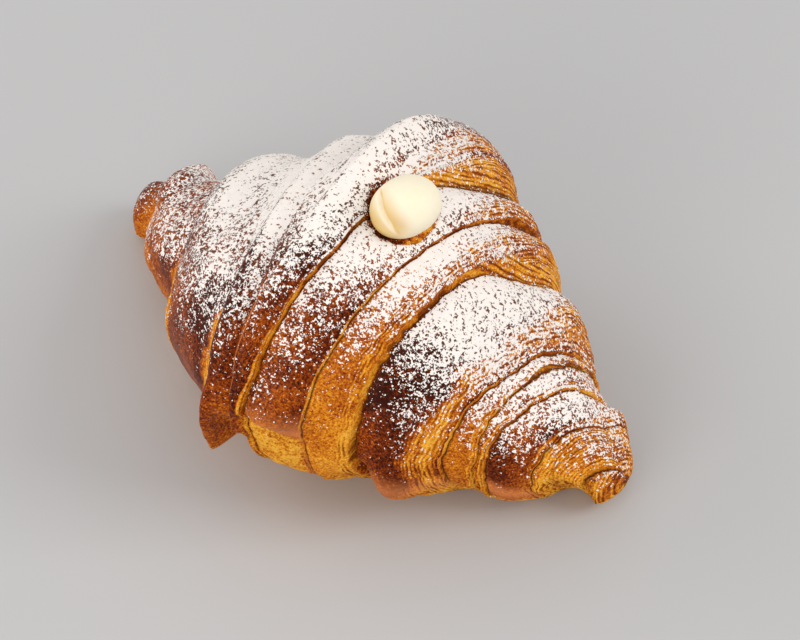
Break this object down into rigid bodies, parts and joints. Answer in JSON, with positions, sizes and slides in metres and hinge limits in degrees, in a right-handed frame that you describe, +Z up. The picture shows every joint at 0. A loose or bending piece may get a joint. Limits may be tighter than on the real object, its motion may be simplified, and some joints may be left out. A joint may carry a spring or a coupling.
{
  "type": "cream-filled croissant",
  "caption": "Crescent of rolled, layered pastry with overlapping turns and tapered tips, dusted with fine sugar, and a dollop of cream standing in its filling hole.",
  "frame": {"origin": "on the flat resting face, on the plane the pastry stands on, below the middle of the belly", "axes": "+X along the pastry towards its knobbed right tip, -Y towards the front that shows in the picture, +Z up"},
  "size_m": [0.1538, 0.1023, 0.0799],
  "materials": {
    "crust": "baked pastry, satin, golden at the layers and mahogany on the skin",
    "cream": "smooth whipped pastry cream, soft satin",
    "sugar": "fine powdered sugar, fully matte"
  },
  "bodies": {
    "root": {"croissant": "crust", "cream": "cream"}
  },
  "joints": []
}
